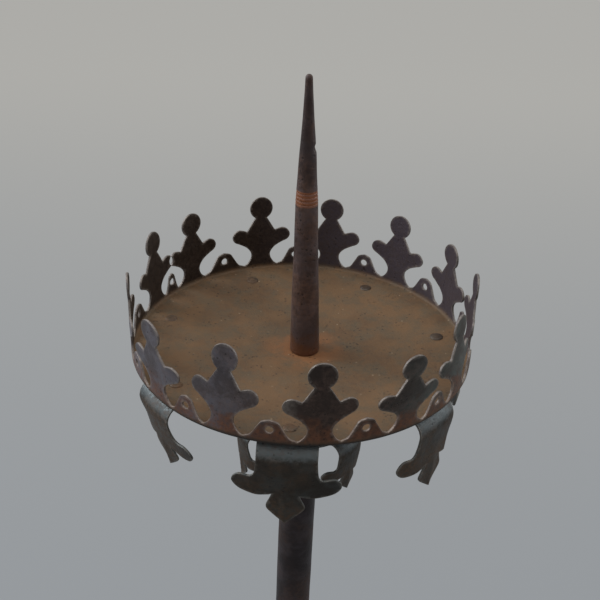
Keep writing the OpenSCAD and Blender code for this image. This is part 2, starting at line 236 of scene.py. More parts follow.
def plain_iron(name, dark, brown, bloom, rust, bloomed=0.4, rusted=0.4, shine=0.4, wear_and_glint_colour="8a8078"):
    """A bar or sheet without zones of its own."""
    material, b = new_material(name)
    m = iron_masks(b, b.millimetres())
    colour = b.blend(m["broad"], paint(dark), paint(brown))
    colour = b.blend(m["blotch"] * bloomed, colour, paint(bloom))
    dull = m["fine"] * m["broad"]
    colour = b.blend(dull * rusted, colour, paint(rust))
    iron_surface(b, m, colour, dull, shine, paint(wear_and_glint_colour))
    return material


stem_finish = plain_iron("stem_finish", "2c2324", "3b2e2c", "51484c", "5a3d2d", 0.45, 0.35, 0.45)
rivet_finish = plain_iron("rivet_finish", "40332a", "57432f", "6a6257", "7a5334", 0.35, 0.5, 0.3)
base_finish = plain_iron("base_finish", "2d2625", "3a302d", "55504f", "5c4230", 0.4, 0.35, 0.42)
print("plain finishes:", [m.name for m in (stem_finish, rivet_finish, base_finish)])

# %% [markdown]
# ## The pan's finish and its painted light
# Wax, water and hot candle ends have left the floor ochre and dull, with grey-olive patches and an orange ring where
# the spike stands. The crown stayed drier: dark brown, with copper-coloured rust at the feet of the figures. Painted
# light lies over this: a painted reflection of the window, lilac-grey on the left and grey-green on the right of the
# outside; painted shade inside on the left and painted slate-grey light inside on the right; and painted shade on the
# faces that look down. One sheet, so one material, and the zones come from height, radius and facing.

# %% Finish of the pan and its crown, with painted light
def pan_material():
    material, b = new_material("pan_finish_and_painted_light")
    where = b.millimetres()
    m = iron_masks(b, where)
    x, y, z = b.parts(where)
    x, z = x - PAN.x, z - PAN.z
    radius = (x * x + y * y) ** 0.5
    nx, ny, nz = b.facing()
    to_right, to_front = x / radius, (0 - y) / radius
    outside = b.band((nx * x + ny * y) / radius, -0.3, 0.3)
    from_spike = ((x - 2.0) * (x - 2.0) + y * y) ** 0.5

    # The floor
    floor = b.blend(m["broad"], paint("755a3f"), paint("624b35"))
    floor = b.blend(m["blotch"] * 0.55, floor, paint("5a5344"))
    floor = b.blend(m["fine"] * 0.35, floor, paint("7d5c3b"))
    halo = b.band(from_spike + m["blotch"] * 7.0, 27.0, 9.0)
    floor = b.blend(halo * 0.7, floor, paint("93613a"))
    spots = b.node("ShaderNodeTexVoronoi", {"feature": "F1"}, {"Vector": where, "Scale": 0.16})
    floor = b.blend(b.band(spots, 0.12, 0.05) * m["fine"] * 0.8, floor, paint("a28e74"))
    # Painted shade: faces that look down, under the pan and its bend, are made dark.
    floor = b.blend(b.band(nz, 0.1, -0.3), floor, paint("33291f"))

    # The crown
    outer = b.blend(m["broad"], paint("3a2e29"), paint("4a3b33"))
    # Painted reflection of the window: lilac-grey on the left of the crown's outside, grey-green on its right.
    outer = b.blend(b.band(to_right, 0.1, -0.6) * (0.35 + m["blotch"] * 0.5), outer, paint("7c7a84"))
    outer = b.blend(b.band(to_right, 0.35, 0.8) * (0.3 + m["blotch"] * 0.5), outer, paint("616a66"))
    outer = b.blend(m["fine"] * m["blotch"] * 0.35, outer, paint("7a6258"))
    # Painted light and shade inside the crown: dark on the left, where it is shaded, and slate-grey on the right,
    # which faces the window.
    inner = b.blend(b.band(to_right, -0.5, 0.5), paint("2c221c"), paint("57505a"))
    inner = b.blend(m["fine"] * 0.4, inner, paint("4a3a2e"))
    crown = b.blend(outside, inner, outer)
    foot = b.band(z + m["blotch"] * 8.0, 20.0, 6.0) * b.band(to_front, -0.2, 0.6) * outside
    crown = b.blend(foot * (0.3 + m["fine"] * 0.5), crown, paint("85553a"))
    upright = b.band(z, -2.4, 1.5)
    colour = b.blend(upright, floor, crown)
    dull = b.maths("MINIMUM", (1 - upright) * 0.8 + m["fine"] * 0.35, 1.0)
    iron_surface(b, m, colour, dull, 0.45, paint("a39a92"))
    return material


pan_finish_and_painted_light = pan_material()
print("pan finish:", len(pan_finish_and_painted_light.node_tree.nodes), "nodes")

# %% [markdown]
# ## Finishes of the leaves and the spike
# The leaves are dark olive-brown, with a painted reflection of the sky that turns them blue-grey where they face
# up. The spike is brown, darker towards its tip, with a few turned rings two thirds up where a copper colour shows,
# and rust at its foot.

# %% Finish of the leaves, with a painted reflection of the sky
def leaf_material():
    material, b = new_material("leaf_finish_and_painted_light")
    m = iron_masks(b, b.millimetres())
    nz = b.facing()[2]
    colour = b.blend(m["broad"], paint("322c25"), paint("453a2e"))
    colour = b.blend(m["blotch"] * 0.4, colour, paint("4d5150"))
    # Painted reflection of the sky: blue-grey where the leaf faces up.
    colour = b.blend(b.band(nz + m["fine"] * 0.2, 0.12, 0.55) * 0.75, colour, paint("6c767a"))
    dull = m["fine"] * m["broad"]
    colour = b.blend(dull * 0.45, colour, paint("664830"))
    iron_surface(b, m, colour, dull, 0.42, paint("8d8880"))
    return material


leaf_finish_and_painted_light = leaf_material()

# %% Finish of the spike
PAN_FLOOR = 609.1
RINGS_AT, RINGS, RING_STEP = 86.5, 4, 1.9


def spike_material():
    material, b = new_material("spike_finish")
    where = b.millimetres()
    m = iron_masks(b, where)
    high = b.parts(where)[2] - PAN_FLOOR
    colour = b.blend(m["broad"], paint("4a3b37"), paint("5a4741"))
    colour = b.blend(m["blotch"] * 0.4, colour, paint("6e6367"))
    colour = b.blend(b.band(high, 90.0, 112.0) * 0.6, colour, paint("2e2526"))
    dull = m["fine"] * m["broad"]
    colour = b.blend(dull * 0.45, colour, paint("6f4a35"))
    colour = b.blend(b.band(high + m["blotch"] * 8.0, 24.0, 3.0) * 0.6, colour, paint("84573a"))
    waves = b.maths("SINE", (high - RINGS_AT) * (2 * pi / RING_STEP)) * 0.5 + 0.5
    ringed = b.band(high, RINGS_AT - 1.6, RINGS_AT - 0.6) * b.band(high, RINGS_AT + 7.2, RINGS_AT + 6.2)
    colour = b.blend(ringed * (0.35 + waves * 0.55), colour, paint("ab6a45"))
    iron_surface(b, m, colour, dull, 0.45, paint("8a8078"))
    return material


spike_finish = spike_material()
print("leaf and spike finishes ready")

# %% [markdown]
# ## From drawings to pieces
# Three ways of making cover almost everything here. A sheet is cut out flat, bent by a rule and given its thickness.
# A round piece is a profile turned about an axis. A bar is a section that follows a path. Each returns points in
# millimetres and faces, and `fit` turns them into a finished piece that stands for its CAD node.

# %% Finished pieces
def fit(name, points, faces, finish, slot, *nodes, edge=None, sharp=38):
    """A closed piece from millimetres, which rides on the frame and stands for its nodes."""
    mesh = bpy.data.meshes.new(name)
    mesh.from_pydata([tuple(v * MM for v in p) for p in points], [], faces)
    if edge:
        wear_and_glint = mesh.attributes.new("edge", "FLOAT", "POINT")
        wear_and_glint.data.foreach_set("value", edge)
    return settle(name, mesh, finish, slot, *nodes, sharp=sharp)


def settle(name, mesh, finish, slot, *nodes, sharp=38):
    bm = bmesh.new()
    bm.from_mesh(mesh)
    bmesh.ops.recalc_face_normals(bm, faces=bm.faces)
    bm.to_mesh(mesh)
    open_edges = sum(1 for e in bm.edges if len(e.link_faces) != 2)
    bm.free()
    mesh.shade_smooth()
    mesh.set_sharp_from_angle(angle=radians(sharp))
    mesh.materials.clear()
    mesh.materials.append(finish)
    piece = bpy.data.objects.new(name, mesh)
    scene.collection.objects.link(piece)
    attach(piece, "root")
    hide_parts(*nodes)
    print(name, "faces", len(mesh.polygons), "open edges", open_edges)
    return piece


def hand(x, y, z, scale, seed=0.0):
    """The unevenness of hammer work at a place, from -1 to 1."""
    return noise.noise(Vector((x * scale + seed, y * scale - seed, z * scale + 0.37 * seed)))


# %% Smooth outlines
def smooth(points, steps=3):
    """A smooth curve through the points, with some steps between neighbours."""
    last = len(points) - 1
    out = []
    for i in range(last):
        a, b, c, d = (points[k] for k in (max(i - 1, 0), i, i + 1, min(i + 2, last)))
        for k in range(steps):
            t = k / steps
            out.append(tuple(0.5 * (2 * q + (r - p) * t + (2 * p - 5 * q + 4 * r - s) * t * t
                                    + (3 * q - p - 3 * r + s) * t ** 3) for p, q, r, s in zip(a, b, c, d)))
    return out + [tuple(points[-1])]


def without_repeats(points):
    """The points without those that lie on the one before."""
    return points[:1] + [p for q, p in zip(points, points[1:]) if abs(p[0] - q[0]) + abs(p[1] - q[1]) > 1e-5]


# %% Cutting a sheet
def inside(points, loops):
    """Which points lie in the sheet, where each loop turns inside to outside."""
    p = np.asarray(points, float)
    found = np.zeros(len(p), bool)
    for loop in loops:
        for (x1, y1), (x2, y2) in zip(loop, loop[1:] + loop[:1]):
            if y1 != y2:
                crosses = (y1 > p[:, 1]) != (y2 > p[:, 1])
                found ^= crosses & (p[:, 0] < x1 + (p[:, 1] - y1) * (x2 - x1) / (y2 - y1))
    return found


def cut_sheet(loops, step, grid=None):
    """The flat sheet inside the first loop and outside the others, as points and triangles."""
    if grid is None:
        xs, ys = zip(*loops[0])
        rows = enumerate(np.arange(min(ys) + step / 2, max(ys), step * 0.87))
        grid = [(x + (row % 2) * step / 2, y) for row, y in rows
                for x in np.arange(min(xs) + step / 2, max(xs), step)]
    grid = np.array(grid)
    clear = np.ones(len(grid), bool)
    for dx, dy in ((0.4, 0), (-0.4, 0), (0, 0.4), (0, -0.4)):
        clear &= inside(grid + (dx, dy), loops)
    points, edges = [], []
    for loop in loops:
        first = len(points)
        points += loop
        edges += [(first + k, first + (k + 1) % len(loop)) for k in range(len(loop))]
    points += [tuple(p) for p in grid[clear]]
    flat, _, faces, _, _, _ = delaunay_2d_cdt([Vector(p) for p in points], edges, [], 0, 1e-5)
    middles = [sum((flat[k] for k in face), Vector((0, 0))) / 3 for face in faces]
    keep = inside([tuple(v) for v in middles], loops)
    return [tuple(v) for v in flat], [tuple(face) for face, ok in zip(faces, keep) if ok]


def thicken(points, faces, thickness, merge=0.004):
    """Gives a bent sheet its thickness and slightly rounded cut edges. The third list marks the cut edges, which are
    painted lighter as wear and as a painted highlight.
    """
    bm = bmesh.new()
    verts = [bm.verts.new(p) for p in points]
    for face in faces:
        if len(set(face)) == len(face):
            bm.faces.new([verts[k] for k in face])
    bmesh.ops.remove_doubles(bm, verts=bm.verts, dist=merge)
    bmesh.ops.delete(bm, geom=[v for v in bm.verts if not v.link_faces], context="VERTS")
    bmesh.ops.recalc_face_normals(bm, faces=bm.faces)
    bm.normal_update()
    bm.verts.index_update()
    count = len(bm.verts)
    half = thickness / 2
    out = [v.co + v.normal * half for v in bm.verts] + [v.co - v.normal * half for v in bm.verts]
    edge = [0.0] * (2 * count)
    sides = [[v.index for v in f.verts] for f in bm.faces]
    sides += [[count + k for k in reversed(s)] for s in sides]
    rim = [e for e in bm.edges if len(e.link_faces) == 1]
    away, middle = {}, {}
    for e in rim:
        along = (e.verts[1].co - e.verts[0].co).normalized()
        off = (e.verts[0].co + e.verts[1].co) / 2 - e.link_faces[0].calc_center_median()
        off = (off - along * off.dot(along)).normalized()
        for v in e.verts:
            away[v] = away.get(v, Vector()) + off
    for v, off in away.items():
        middle[v] = len(out)
        out.append(v.co + off.normalized() * half * 0.3)
        edge.append(1.0)
        edge[v.index] = edge[count + v.index] = 0.8
    for e in rim:
        a, b = e.verts
        sides.append([a.index, b.index, middle[b], middle[a]])
        sides.append([middle[a], middle[b], count + b.index, count + a.index])
    bm.free()
    return [tuple(v) for v in out], sides, edge


print("sheet tools ready")

# %% Turned pieces and bars
def turned(profile, steps=64, dent=0.1, dent_scale=0.08, ring=False, seed=0.0):
    """A profile of radius and height turned about the upright axis. A ring's profile is a closed loop."""
    points, rows, faces = [], [], []
    for r, z in profile:
        if r < 1e-6:
            rows.append([len(points)])
            points.append((0.0, 0.0, z))
            continue
        rows.append(list(range(len(points), len(points) + steps)))
        for k in range(steps):
            a = 2 * pi * k / steps
            c, s = cos(a), sin(a)
            uneven = r + dent * hand(r * c, r * s, z, dent_scale, seed)
            points.append((uneven * c, uneven * s, z))
    for low, high in zip(rows, rows[1:] + (rows[:1] if ring else [])):
        for k in range(steps):
            n = (k + 1) % steps
            if len(low) == 1 or len(high) == 1:
                faces.append([low[0], high[k], high[n]] if len(low) == 1 else [low[k], low[n], high[0]])
            else:
                faces.append([low[k], low[n], high[n], high[k]])
    return points, faces


def corner(r, z, size, start, steps=3):
    """A rounded quarter of a profile about (r, z), from an angle in degrees, turning left."""
    return [(r + size * cos(radians(start + 90 * k / steps)), z + size * sin(radians(start + 90 * k / steps)))
            for k in range(steps + 1)]


def disc(radius, low, high, soft=0.8):
    return [(0, low), (radius * 0.5, low)] + corner(radius - soft, low + soft, soft, -90) \
        + corner(radius - soft, high - soft, soft, 0) + [(radius * 0.5, high), (0, high)]


def collar(inner, outer, low, high, soft=0.6):
    rise = [(outer, low + soft + (high - low - 2 * soft) * k / 4) for k in range(1, 4)]
    return corner(outer - soft, low + soft, soft, -90) + rise + corner(outer - soft, high - soft, soft, 0) \
        + [(inner, high), (inner, (low + high) / 2), (inner, low)]


def bar(path, width, height, soft=1.3, dent=0.25, seed=0.0):
    """A flat bar along a path of radius and height, straight ahead of the stem."""
    w, h = width / 2, height / 2
    section = [(sx * (w - soft) + soft * cos(radians(a)), sh * (h - soft) + soft * sin(radians(a)))
               for sx, sh, start in ((1, 1, 0), (-1, 1, 90), (-1, -1, 180), (1, -1, 270))
               for a in (start, start + 30, start + 60, start + 90)]
    points, faces = [], []
    for k, (r, z) in enumerate(path):
        (r0, z0), (r1, z1) = path[max(k - 1, 0)], path[min(k + 1, len(path) - 1)]
        along = Vector((r1 - r0, z1 - z0)).normalized()
        for across, thick in section:
            push = dent * hand(across, r, z, 0.05, seed)
            thick = thick * (1 + push / h)
            points.append((across * (1 + push / w), -(r + along.y * thick), z - along.x * thick))
    n = len(section)
    for k in range(len(path) - 1):
        faces += [[k * n + j, k * n + (j + 1) % n, (k + 1) * n + (j + 1) % n, (k + 1) * n + j] for j in range(n)]
    return points, faces + [list(range(n))[::-1], [len(points) - n + j for j in range(n)]]


def joined(*parts):
    """Several shells as one piece."""
    points, faces = [], []
    for some, sides in parts:
        first = len(points)
        points += list(some)
        faces += [[first + k for k in side] for side in sides]
    return points, faces


def placed(part, azimuth=0.0, centre=(0, 0, 0)):
    """Turns a piece from the front to its azimuth and moves it."""
    c, s = cos(radians(azimuth)), sin(radians(azimuth))
    points = [(x * c - y * s + centre[0], x * s + y * c + centre[1], z + centre[2]) for x, y, z in part[0]]
    return (points,) + tuple(part[1:])


print("turning and forging tools ready")

# %% [markdown]
# ## The pan and its crown
# On the real pan the smith drew the figures and the pierced lugs on the sheet's margin, cut them out and bent the
# margin up. The same can be done here: the margin is one long flat strip, cut with its slots and holes, and then each
# point is carried round the pan. Curves on a cylinder could also be cut by Booleans, but these leave long thin
# faces that shade badly, and no hammer marks can be put on them.

# %% Sizes of the pan
PAN_R, SHEET = 90.0, 1.1
DISH, EDGE, FLAT_R, BEND_R = 6.2, 2.4, 15.0, 1.6
BEND_AT = PAN_R - SHEET - BEND_R
TILT = atan2(DISH - EDGE, BEND_AT - FLAT_R)
BEND_MID, BEND_Z = BEND_R + SHEET / 2, BEND_R - EDGE
STRIP_LOW = BEND_Z - BEND_MID * (pi / 2 - TILT)
FIGURES, FIGURE_H, SLOT_AT, LUG_H = 13, 43.0, 10.4, 10.8
HOLE_R, HOLE_Z = 2.05, 5.6
TURN = [0, 0.5, -1, 0.5, -4.5, -3, -2.5, -3, -0.5, -7.5, -4, -0.5, -2]
LEAN = [0.5, 4, -3.5, 0.6, -3, 0.5, 1.5, 0.6, -1, 1.5, 1.2, 6, -4]
STATURE = {1: 0.94, 12: 1.04, 11: 1.02, 5: 0.98, 7: 1.02}
FIRST_FIGURE = 6.7
MIDDLES = [PAN_R * radians(FIRST_FIGURE + 360 * i / FIGURES + TURN[i]) for i in range(FIGURES)]
AROUND = 2 * pi * PAN_R
COLUMNS = 300


# %% Drawing a figure and a lug
def figure_half(tall=1.0):
    """Half a figure, from its slot over the raised arm to the top of its round head."""
    arm_x, arm_z, head_r = 17.7, 0.43 * FIGURE_H, 6.8
    head_z = FIGURE_H - head_r
    neck = -radians(60)
    half = smooth([(SLOT_AT, -0.45), (SLOT_AT - 1.0, 0.0), (SLOT_AT - 2.7, 1.5), (6.0, 4.6), (6.0, 8.0),
                   (8.6, arm_z - 7), (arm_x - 4.8, arm_z - 4.3), (arm_x - 1.3, arm_z - 2.4), (arm_x, arm_z + 0.4),
                   (arm_x - 1.2, arm_z + 3.3), (arm_x - 3.9, arm_z + 4.7), (arm_x - 6.5, arm_z + 4.3),
                   (arm_x - 8.9, arm_z + 3.4)], 5)
    half += smooth([(arm_x - 9.7, arm_z + 4.2), (5.6, arm_z + 8.2), (3.7, head_z + head_r * sin(neck) - 0.6)], 5)
    half += [(head_r * cos(a), head_z + head_r * sin(a)) for a in np.linspace(neck, pi / 2, 16)]
    return [(x, z * tall if z > 0 else z) for x, z in half]


def lug_half(half_w):
    """Half a lug, from its slot to its peak."""
    k = half_w / 11
    return smooth([(half_w, -0.45), (half_w - 1.0, 0.0), (half_w - 2.8 * k, 1.0), (6.6 * k, 3.4), (4.9 * k, LUG_H - 4),
                   (3.3 * k, LUG_H - 1.3), (0, LUG_H)], 5)


def crown_strip():
    """The margin as cut out flat: the outline first, then the holes of the lugs."""
    top, holes = [], []
    for i, middle in enumerate(MIDDLES):
        half = figure_half(STATURE.get(i, 1.0))
        top += [(middle - x, z) for x, z in half] + [(middle + x, z) for x, z in reversed(half)]
        gap = ((MIDDLES[i + 1] if i + 1 < FIGURES else MIDDLES[0] + AROUND) - middle) / 2
        lug = lug_half(gap - SLOT_AT)
        top += [(middle + gap - x, z) for x, z in lug] + [(middle + gap + x, z) for x, z in reversed(lug)]
        turns = np.arange(0, 2 * pi - 0.01, pi / 8)
        holes.append([(middle + gap + HOLE_R * cos(a), HOLE_Z + HOLE_R * sin(a)) for a in turns])
    top = without_repeats(top)
    start = top[0][0]
    side = list(np.linspace(-0.45, STRIP_LOW, 5))
    top += [(start + AROUND, z) for z in side[1:-1]]
    top += [(start + AROUND * (1 - k / COLUMNS), STRIP_LOW) for k in range(COLUMNS + 1)]
    top += [(start, z) for z in side[-2:0:-1]]
    return [top] + holes, start


loops, strip_start = crown_strip()
print("crown strip:", len(loops[0]), "outline points,", len(loops) - 1, "holes")


# %% Bending the strip round the pan
def crown_point(s, t):
    """Where a point of the flat strip lies on the bent sheet: s runs round the pan, t up it."""
    radius, z = BEND_AT + BEND_MID, t
    if t < BEND_Z:
        turn = (t - BEND_Z) / BEND_MID
        radius, z = BEND_AT + BEND_MID * cos(turn), BEND_Z + BEND_MID * sin(turn)
    if t > 0:
        nearest = min(range(FIGURES), key=lambda i: abs((s - MIDDLES[i] + AROUND / 2) % AROUND - AROUND / 2))
        off = (s - MIDDLES[nearest] + AROUND / 2) % AROUND - AROUND / 2
        lug = abs(off) > SLOT_AT and t < LUG_H + 0.4
        lean = 0.5 if lug else LEAN[nearest]
        radius += tan(radians(lean)) * (t - 1.5 * (1 - exp(-t / 1.5)))
        if not lug:
            arm = hand(nearest, 0 if off < 0 else 5, 1, 1.0, 3.7)
            radius += 1.7 * arm * (off / 17.7) ** 2 * min(1, t / 14)
            radius += 1.1 * hand(nearest, 9, 2, 1.0, 8.1) * max(0, t - 22) / 20
    angle = s / PAN_R
    x, y = radius * sin(angle), -radius * cos(angle)
    dent = 0.28 * hand(x, y, t, 0.09) * min(1, max(0, (t - STRIP_LOW) / 5))
    return (x + dent * sin(angle), y - dent * cos(angle), z + 0.3 * dent)


def floor_rings(start):
    """The dished floor as rings of points from the bend to the middle."""
    outer = BEND_AT + BEND_MID * sin(TILT)
    top = BEND_Z - BEND_MID * cos(TILT)
    radii = list(np.linspace(outer, FLAT_R, 22)) + [11.0, 7.0, 3.5]
    points = []
    for r in radii:
        for k in range(COLUMNS):
            a = (start + AROUND * k / COLUMNS) / PAN_R
            x, y = r * sin(a), -r * cos(a)
            dent = 0.3 * hand(x, y, 0, 0.045, 2.0) * min(1, (outer - r) / 8) * min(1, r / 20)
            points.append((x, y, top - (outer - max(r, FLAT_R)) * tan(TILT) + dent))
    faces = [[i * COLUMNS + k, i * COLUMNS + (k + 1) % COLUMNS, (i + 1) * COLUMNS + (k + 1) % COLUMNS,
              (i + 1) * COLUMNS + k] for i in range(len(radii) - 1) for k in range(COLUMNS)]
    last = (len(radii) - 1) * COLUMNS
    points.append((0, 0, top - (outer - FLAT_R) * tan(TILT)))
    return points, faces + [[last + k, last + (k + 1) % COLUMNS, len(points) - 1] for k in range(COLUMNS)]


GRID = 1.7
bend_grid = [(strip_start + AROUND * (k + 0.5) / COLUMNS, t)
             for k in range(COLUMNS) for t in (-1.1, -1.9, -2.7, -3.4)]
crown_grid = [(s + (row % 2) * GRID / 2, t) for row, t in enumerate(np.arange(0.1, 46, GRID * 0.87))
              for s in np.arange(strip_start, strip_start + AROUND, GRID)]
flat, faces = cut_sheet(loops, GRID, bend_grid + crown_grid)
bent = [crown_point(s, t) for s, t in flat]
pan = thicken(*joined((bent, faces), floor_rings(strip_start)), SHEET)
pan = placed(pan, 0.0, PAN)
pan_piece = fit("pan_with_crown", pan[0], pan[1], pan_finish_and_painted_light, "pan_iron", "drip_pan", edge=pan[2])

# %% [markdown]
# ## The leaves
# Each leaf is a strap that is riveted under its plate, bends down over the edge and ends in two arms and a pointed
# lobe. All are cut by the same drawing. The smith bent each one a little differently, so lean and folds are given
# leaf by leaf, and a raised crease stiffens the lobe.

# %% Drawing a leaf
LEAF, STRAP, ARM_TIP, LEAF_BEND = 51.0, 14.5, 26.5, 8.5
ARM_LOW = 0.53 * LEAF


def leaf_half():
    """Half a leaf below its bend, measured down from the pan's edge."""
    half = smooth([(STRAP, -0.25 * LEAF), (STRAP + 0.8, 5.6 - ARM_LOW), (STRAP + 3, 2.8 - ARM_LOW),
                   (STRAP + 5.6, 2.9 - ARM_LOW), (ARM_TIP - 3.4, 2.9 - ARM_LOW), (ARM_TIP - 0.7, 0.6 - ARM_LOW),
                   (ARM_TIP - 0.3, -2.8 - ARM_LOW), (ARM_TIP - 4, -6.4 - ARM_LOW), (STRAP, -8.2 - ARM_LOW),
                   (STRAP - 6.4, -7.2 - ARM_LOW)], 5)
    return half + smooth([(STRAP - 7.9, -6.4 - ARM_LOW), (STRAP - 6.9, 14.5 - LEAF), (STRAP - 5.2, 9.6 - LEAF),
                          (STRAP - 7.2, 6.2 - LEAF), (0, -LEAF)], 5)


def soft_step(v, low, high):
    v = min(1, max(0, (v - low) / (high - low)))
    return v * v * (3 - 2 * v)


def leaf_sheet(size, reach, tail_r, top, tilt, lean, folds, seed):
    """A leaf in front of the stem. reach is where its bend starts, top the upper face of its tail there."""
    lean, tilt = radians(lean), radians(tilt)
    mid_r = LEAF_BEND * size + SHEET / 2
    centre_z = top - LEAF_BEND * size - SHEET
    bend_end = centre_z - mid_r * sin(lean)
    bend_len = mid_r * (pi / 2 + tilt + lean)
    tail_len = reach - tail_r
    half = [(x * size, (z * size - bend_end) / cos(lean)) for x, z in leaf_half()]
    half = [(STRAP * size, bend_len + tail_len)] + [(STRAP * size, bend_len * k / 6) for k in (5, 4, 3, 2, 1)] + half
    outline = without_repeats(half + [(-x, u) for x, u in reversed(half)][1:])
    flat, faces = cut_sheet([outline], 1.8)
    points = []
    crease = (STRAP - 3) * size
    for x, u in flat:
        if u <= 0:
            r, z = reach + mid_r * cos(lean) + u * sin(lean), bend_end + u * cos(lean)
        elif u < bend_len:
            a = u / mid_r - lean
            r, z = reach + mid_r * cos(a), centre_z + mid_r * sin(a)
        else:
            r, z = reach - mid_r * sin(tilt), centre_z + mid_r * cos(tilt)
            r, z = r - (u - bend_len) * cos(tilt), z - (u - bend_len) * sin(tilt)
        hang = soft_step(-u, 0, 14 * size)
        fold = radians(folds[0] if x < 0 else folds[1])
        beyond = max(0, abs(x) - crease)
        back = sin(fold) * (sqrt(beyond * beyond + 4) - 2) * hang
        r -= back + hang * 0.9 * hand(x, u, 0, 0.06, seed) + 0.12 * hand(x, u, 1, 0.2, seed)
        r += hang * 1.5 * size * exp(-abs(x) / (3.2 * size)) * soft_step(-u, 14 * size, 27 * size)
        across = x - (1 if x > 0 else -1) * beyond * (1 - cos(fold)) * hang
        z += hang * 0.8 * hand(x, u, 2, 0.05, seed + 3) * min(1, beyond / 6)
        points.append((across, -sqrt(r * r - across * across), z))
    return thicken(points, faces, SHEET)


LEAF_TURN = [0, 2.8, 0, -1, 1, 0, -0.5]
LEAF_LEAN = [5, 5, 8, 6, 8, 6, 17]
FOLD_LEFT = [0, 0, 8, 0, 6, 0, 0]
FOLD_RIGHT = [0, 28, 0, 6, 0, 10, 0]
RIVET_R = 75.5


def floor_at(r):
    return -DISH + max(0, r - FLAT_R) * tan(TILT)


leaf_reach = PAN_R - LEAF_BEND - SHEET
leaf_azimuths = [-2.7 + 360 * i / 7 + LEAF_TURN[i] for i in range(7)]
for i, azimuth in enumerate(leaf_azimuths):
    leaf = leaf_sheet(1.0, leaf_reach, RIVET_R - 7, floor_at(leaf_reach) - SHEET / cos(TILT), TILT * 180 / pi,
                      LEAF_LEAN[i], (FOLD_LEFT[i], FOLD_RIGHT[i]), 4.0 + 2.3 * i)
    points, faces, edge = placed(leaf, azimuth, PAN)
    fit(f"leaf_{i + 1}", points, faces, leaf_finish_and_painted_light, "leaf_iron", f"rim_leaf_{i + 1}", edge=edge)

# %% The small leaves and their plate
LOW_UNDER = PAN.z - 49.0 - SHEET
SMALL, SMALL_REACH, SMALL_TAIL, SMALL_LEAN, SMALL_FOLD = 0.65, 30.0, 15.5, 6.0, 12.0
small_azimuths = [52, 172, 292]
for i, azimuth in enumerate(small_azimuths):
    leaf = leaf_sheet(SMALL, SMALL_REACH, SMALL_TAIL, 0.0, 0.0, SMALL_LEAN, (SMALL_FOLD, SMALL_FOLD), 31.0 + 2.9 * i)
    points, faces, edge = placed(leaf, azimuth, (0, 0, LOW_UNDER))
    fit(f"small_leaf_{i + 1}", points, faces, leaf_finish_and_painted_light, "leaf_iron", f"lower_leaf_{i + 1}", edge=edge)
washer = [(10.6, LOW_UNDER), (16, LOW_UNDER), (24, LOW_UNDER), (31.2, LOW_UNDER), (31.5, LOW_UNDER + 0.55),
          (31.2, LOW_UNDER + SHEET), (24, LOW_UNDER + SHEET), (16, LOW_UNDER + SHEET), (10.6, LOW_UNDER + SHEET)]
fit("small_plate", *turned(washer, 72, 0.2, 0.07, ring=True), leaf_finish_and_painted_light, "leaf_iron", "lower_plate")
fit("small_collar", *turned(collar(10.6, 14.0, LOW_UNDER - 8, LOW_UNDER), 56, 0.12, 0.12, ring=True),
    stem_finish, "stem_iron", "lower_collar")

# %% [markdown]
# ## Stem and spike
# Both were forged round under the hammer, so they are turned profiles with slight dents. The spike tapers in steps,
# carries four fine rings and leans a little to the left, and a nick shows on its right side near the tip.

# %% Stem
stem = [(0, 103.0)] + [(10.5 * sin(a), 112 - 9 * cos(a)) for a in np.linspace(0.25, pi / 2, 7)] \
    + [(10.5, z) for z in np.linspace(118, 606.5, 100)] + [(10.2, 608.0), (0, 608.0)]
fit("stem_bar", *turned(stem, 56, 0.16, 0.05), stem_finish, "stem_iron", "stem")


# %% Spike
def spike_radius(h):
    """Measured radius of the spike at a height above the pan, with its rings."""
    known = ((0, 8.0), (4, 7.8), (30, 7.2), (60, 6.2), (87, 5.7), (103, 4.65), (113.5, 4.1), (129, 2.9),
             (143, 2.04), (149, 1.75))
    r = float(np.interp(h, [k for k, _ in known], [v for _, v in known]))
    for k in range(RINGS):
        r -= 0.2 * exp(-((h - RINGS_AT - k * RING_STEP) / 0.35) ** 2)
    return r


heights = sorted(set([0.6, 1.6] + list(np.arange(3, 149, 1.5)) + list(np.arange(85, 95, 0.3))))
profile = [(0, 0.0), (7.0, 0.0), (7.8, 0.2)] + [(spike_radius(h), h) for h in heights]
profile += [(1.7 * cos(a), 149.2 + 1.8 * sin(a)) for a in (0.2, 0.6, 1.0, 1.35)] + [(0, 151.0)]
points, faces = turned(profile, 48, 0.22, 0.07, seed=5.0)
LEANS = radians(1.4)
spike = []
for x, y, z in points:
    nick = 0.9 * exp(-((z - 115) / 1.3) ** 2) * max(0, x / 4.2) ** 2
    x -= nick
    spike.append((x * cos(LEANS) - z * sin(LEANS), y, PAN_FLOOR + z * cos(LEANS) + x * sin(LEANS) * min(1, z / 10)))
tenon = turned([(0, 580.0), (5.0, 580.0)] + [(5.0, 594.0), (5.0, PAN_FLOOR + 0.2), (0, PAN_FLOOR + 0.2)], 32, 0.0)
fit("forged_spike", *joined((spike, faces), tenon), spike_finish, "spike_iron", "spike")

# %% [markdown]
# ## Tripod
# Each leg is a flat bar with a straight tab on the stem, a neck and a wide arch, and it ends on a round foot. A path
# in radius and height carries the bar's section, which keeps its rounded corners all along.

